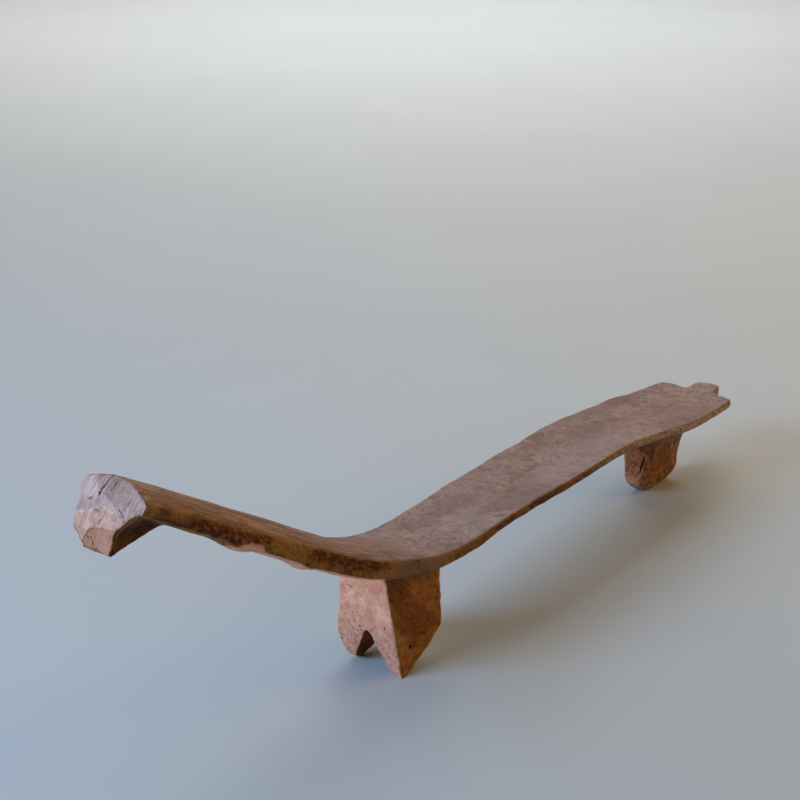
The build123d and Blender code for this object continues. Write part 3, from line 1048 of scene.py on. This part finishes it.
def smoked_wood(wood):
    """The sides and the underside, brown with smoke and handling."""
    sides = wood.ground("rim")
    sides = wood.on_mask(sides, "grey_rim", 0.75, (126, 98, 76))
    sides = wood.on_mask(sides, "dark_rim", ("patches", 1.0, 1.25, 0.95, 0.45), (74, 40, 14))
    sides = wood.on_mask(sides, "soot", ("mottle", 0.42, 0.62, 1.0, 0.35), (86, 40, 8))
    sides = wood.on_mask(sides, "tail", ("blotches", 0.35, 0.55, 0.7, 1.0), wood.ground("olive"))
    sides = wood.mix(wood.mask("legs"), sides, wood.ground("leg_side"))
    return wood.mix(wood.mask("keel"), sides, wood.ground("keel"))


def front_leg_wood(wood):
    """The bare front of the front leg, grimy at the feet."""
    front = wood.on_mask(wood.ground("leg_front"), "foot", 0.7, wood.ground("grime"))
    return wood.coated(front, ("specks", 0.30, 0.38, 0.5, 0.0, (112, 72, 60)))


def rear_leg_wood(wood):
    """The rear leg: rusty, with a rosy front."""
    rosy = wood.ground("rear_leg_front")
    rosy = wood.on_mask(rosy, "foot", ("mottle", 0.45, 0.60, 0.1, 0.8), (190, 130, 98))
    ragged = wood.maths("ADD", wood.mask("rear_front"), wood.times(wood.patterns["dabs"], RAGGED_ROSE))
    return wood.mix(wood.ramp(ragged, 0.65, 1.1), wood.ground("rear_leg"), rosy)


def cut_wood(wood):
    """The headrest's end: lilac above its dome, peach below it, and brown under the ledge, each facet painted
    lit or shaded as painted light and shade.
    """
    painted_facet_light = wood.mask("painted_facet_light")
    lilac, peach, brown = (wood.mix(painted_facet_light, colour(dark), colour(lit)) for dark, lit in (LILAC, PEACH, BROWN))
    end = wood.mix(wood.mask("over_dome"), peach, lilac)
    end = wood.mix(wood.mask("under_ledge"), end, brown)
    end = wood.coated(end, *COATS["end"])
    return wood.on_mask(end, "crest", ("mottle", 0.42, 0.58, 0.1, 0.7), (244, 208, 190))


def aged(wood, surface):
    """A surface with its edges rubbed pale, along the top's edge partly as a painted highlight, its chips
    bare, its hollows dark, its notch darkened with painted shade, and its holes and cracks painted black
    inside as painted shade.
    """
    wear_and_highlight = wood.times(wood.mask("edge_wear_and_highlight"), wood.share("patches", 0.98, 1.16, 0.2, 0.8))
    wear_and_highlight = wood.times(wear_and_highlight, wood.share("dark_rim", 0.0, 1.0, 1.0, 0.45))
    # Pale edges: wear, and on the top's edge a painted highlight.
    surface = wood.mix(wear_and_highlight, surface, wood.mix(wood.mask("legs"), colour(WORN_WOOD_AND_HIGHLIGHT), colour(WORN_LEG)))
    surface = wood.on_mask(surface, "arris", ("mottle", 0.36, 0.52, 0.2, 0.95), (240, 188, 160))
    surface = wood.on_mask(surface, "chipped", 0.8, wood.ground("chip"))
    surface = wood.coated(surface, ("hollow", 0.0, 1.0, 0.0, 0.7, (72, 32, 12)))
    # Painted shade in the front leg's notch.
    surface = wood.mix(wood.mask("painted_notch_shade"), surface, wood.ground("painted_notch_shade"))
    # Painted shade: black inside holes and cracks.
    return wood.mix(wood.mask("painted_pit_shade"), surface, colour(PAINTED_SHADE_IN_PITS))


def carved_wood(name):
    """Old hewn wood. The masks say where it is worn, smoked, bare or cut across."""
    wood = Wood(name)
    surface = wood.mix(wood.mask("smoke"), top_wood(wood), smoked_wood(wood))
    torn = wood.maths("ADD", wood.mask("raw"), wood.times(wood.patterns["mottle"], RAGGED_RAW))
    surface = wood.mix(wood.ramp(torn, 0.78, 0.98), surface, wood.ground("raw"))
    surface = wood.mix(wood.mask("bare"), surface, front_leg_wood(wood))
    surface = wood.mix(wood.mask("rear"), surface, rear_leg_wood(wood))
    surface = wood.mix(wood.mask("cut_end"), surface, cut_wood(wood))
    surface = aged(wood, surface)

    fresh = wood.maths("MAXIMUM", wood.mask("bare"), wood.mask("cut_end"))
    rough = wood.share("blotches", 0.3, 0.7, 0.50, 0.66)
    rough = wood.maths("ADD", rough, wood.ramp(fresh, 0.0, 1.0, 0.0, FRESH_ROUGHER))
    normal = wood.bump([(wood.patterns[pattern], tall) for pattern, tall in RELIEF])
    return wood.finish(Base_Color=surface, Roughness=rough, Normal=normal, Specular_IOR_Level=MIRRORED[name])


SLOTS = {
    "headrest_block": "cut_end_wood",
    "neck": "neck_wood",
    "bed_board": "board_wood",
    "foot_tongue": "board_wood",
    "front_leg": "leg_wood",
    "rear_leg": "leg_wood",
}
woods = {slot: carved_wood(slot) for slot in sorted(set(SLOTS.values()))}

# ==== The pieces ====
for node, mesh in MESHES.items():
    shade_as_one(mesh)
    mesh.materials.clear()
    mesh.materials.append(woods[SLOTS[node]])
    piece = bpy.data.objects.new("carved_" + node, mesh)
    bpy.context.scene.collection.objects.link(piece)
    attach(piece, "root")
    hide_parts(node)

# ==== Floor, light and camera ====
FLOOR_REACH = 40
FLOOR_TONES = ((184, 184, 184), (192, 192, 192))
FLOOR_ROUGHNESS = 0.6
FLOOR_MIRRORED = 0.2

# ---- Lights: name, place, what it points at, width, height, watts and colour ----
LIGHTS = (
    ("near_window", (-4.2, 2.2, 2.6), (0.0, 0.0, 0.3), 3.0, 2.4, 270, (0.28, 0.59, 1.0)),
    ("far_window", (-7.0, 3.5, 2.4), (0.5, 0.0, 0.2), 4.0, 2.4, 134, (1.0, 0.80, 0.5)),
    ("skylight", (0.0, 0.0, 5.0), (0.0, 0.0, 0.0), 4.0, 4.0, 39, (0.82, 0.86, 0.90)),
    ("warm_fill", (3.5, -3.0, 2.6), (0.3, 0.0, 0.2), 3.0, 2.0, 76, (1.0, 0.70, 0.28)),
    ("back_of_room", (8.0, 6.0, 5.0), (8.0, 6.0, 0.0), 10.0, 10.0, 820, (0.92, 0.955, 0.97)),
    ("end_of_room", (14.0, 10.0, 6.0), (14.0, 10.0, 0.0), 12.0, 12.0, 192, (0.85, 1.0, 0.99)),
)
ROOM_STRENGTH = 0.085      # of the even light from all round
ROOM_TINT = (1.0, 0.72, 0.42)

# ---- The camera that took the photograph ----
CAMERA_PLACE = Vector((-2.4482, -1.5879, 1.5))
CAMERA_AIM = Vector((0.75687, 0.55491, -0.34530))
LENS = 70.97               # millimetres, as is the sensor
SENSOR = 36


def pale_floor():
    """A plain, pale, slightly glossy floor."""
    paint = Finish("floor_paint")
    spread = paint.node("ShaderNodeTexCoord").outputs["Object"]
    tone = paint.mix(paint.noise(spread), *(colour(tone) for tone in FLOOR_TONES))
    body = bmesh.new()
    corners = [
        body.verts.new((x * FLOOR_REACH, y * FLOOR_REACH, cad_box[0].z))
        for x, y in ((-1, -1), (1, -1), (1, 1), (-1, 1))
    ]
    body.faces.new(corners)
    mesh = closed(body, "floor")
    finish = paint.finish(Base_Color=tone, Roughness=FLOOR_ROUGHNESS, Specular_IOR_Level=FLOOR_MIRRORED)
    mesh.materials.append(finish)
    floor = bpy.data.objects.new("floor", mesh)
    bpy.context.scene.collection.objects.link(floor)


def soft_light(name, place, aim, width, tall, power, tint):
    """A large rectangular light that points at a place."""
    lamp = bpy.data.lights.new(name, "AREA")
    lamp.shape = "RECTANGLE"
    lamp.size = width
    lamp.size_y = tall
    lamp.energy = power
    lamp.color = tint
    light = bpy.data.objects.new(name, lamp)
    light.location = place
    light.rotation_euler = (Vector(aim) - Vector(place)).to_track_quat("-Z", "Y").to_euler()
    bpy.context.scene.collection.objects.link(light)


def surroundings(strength, tint):
    """Even light from all round."""
    world = bpy.data.worlds.new("studio")
    world.use_nodes = True
    background = world.node_tree.nodes["Background"]
    background.inputs["Color"].default_value = (*tint, 1.0)
    background.inputs["Strength"].default_value = strength
    bpy.context.scene.world = world


def photo_camera():
    """The camera, where the photograph was taken from."""
    lens = bpy.data.cameras.new("camera")
    lens.lens = LENS
    lens.sensor_width = SENSOR
    camera = bpy.data.objects.new("camera", lens)
    camera.location = CAMERA_PLACE
    camera.rotation_euler = CAMERA_AIM.to_track_quat("-Z", "Y").to_euler()
    bpy.context.scene.collection.objects.link(camera)
    bpy.context.scene.camera = camera


pale_floor()
for light in LIGHTS:
    soft_light(*light)
surroundings(ROOM_STRENGTH, ROOM_TINT)
photo_camera()
bpy.context.scene.view_settings.view_transform = "Standard"
